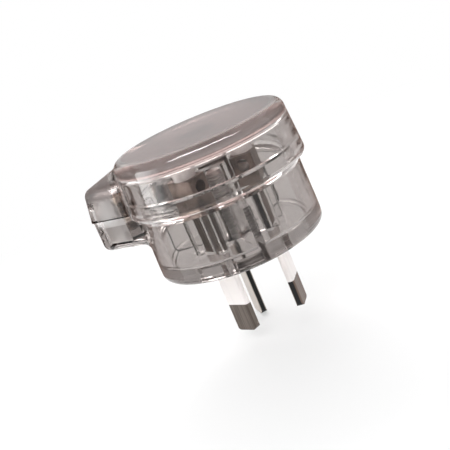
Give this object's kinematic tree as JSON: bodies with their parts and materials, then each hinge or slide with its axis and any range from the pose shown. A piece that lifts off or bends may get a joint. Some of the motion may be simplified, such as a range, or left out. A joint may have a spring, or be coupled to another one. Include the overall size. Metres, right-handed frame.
{
  "type": "electrical plug",
  "caption": "Clear rewirable mains plug with angled flat pins, insulated line pins, screw terminals and a side cord entry with a cord clamp.",
  "frame": {"origin": "centre of the pin pattern on the pin face, where the plug meets a socket outlet", "axes": "+Z from the pin face up to the cover, pins point to -Z; +Y towards the earth pin"},
  "size_m": [0.0494, 0.0449, 0.049],
  "materials": {
    "clear_plastic": "clear polished polycarbonate, faintly smoky",
    "pin_brass": "drawn brass, lightly tarnished, fine draw lines along the pin",
    "terminal_brass": "machined brass, darkened",
    "plated_steel": "bright zinc plating",
    "sleeve_white": "satin white moulding"
  },
  "bodies": {
    "root": {"base": "clear_plastic", "cover": "clear_plastic", "cover_screw": "plated_steel", "cord_clamp": "clear_plastic", "cord_clamp_screws": "terminal_brass", "terminal_screws": "plated_steel", "neutral_pin": "pin_brass", "active_pin": "pin_brass", "earth_pin": "pin_brass", "neutral_terminal": "terminal_brass", "active_terminal": "terminal_brass", "earth_terminal": "terminal_brass", "neutral_sleeve": "sleeve_white", "active_sleeve": "sleeve_white"}
  },
  "joints": []
}
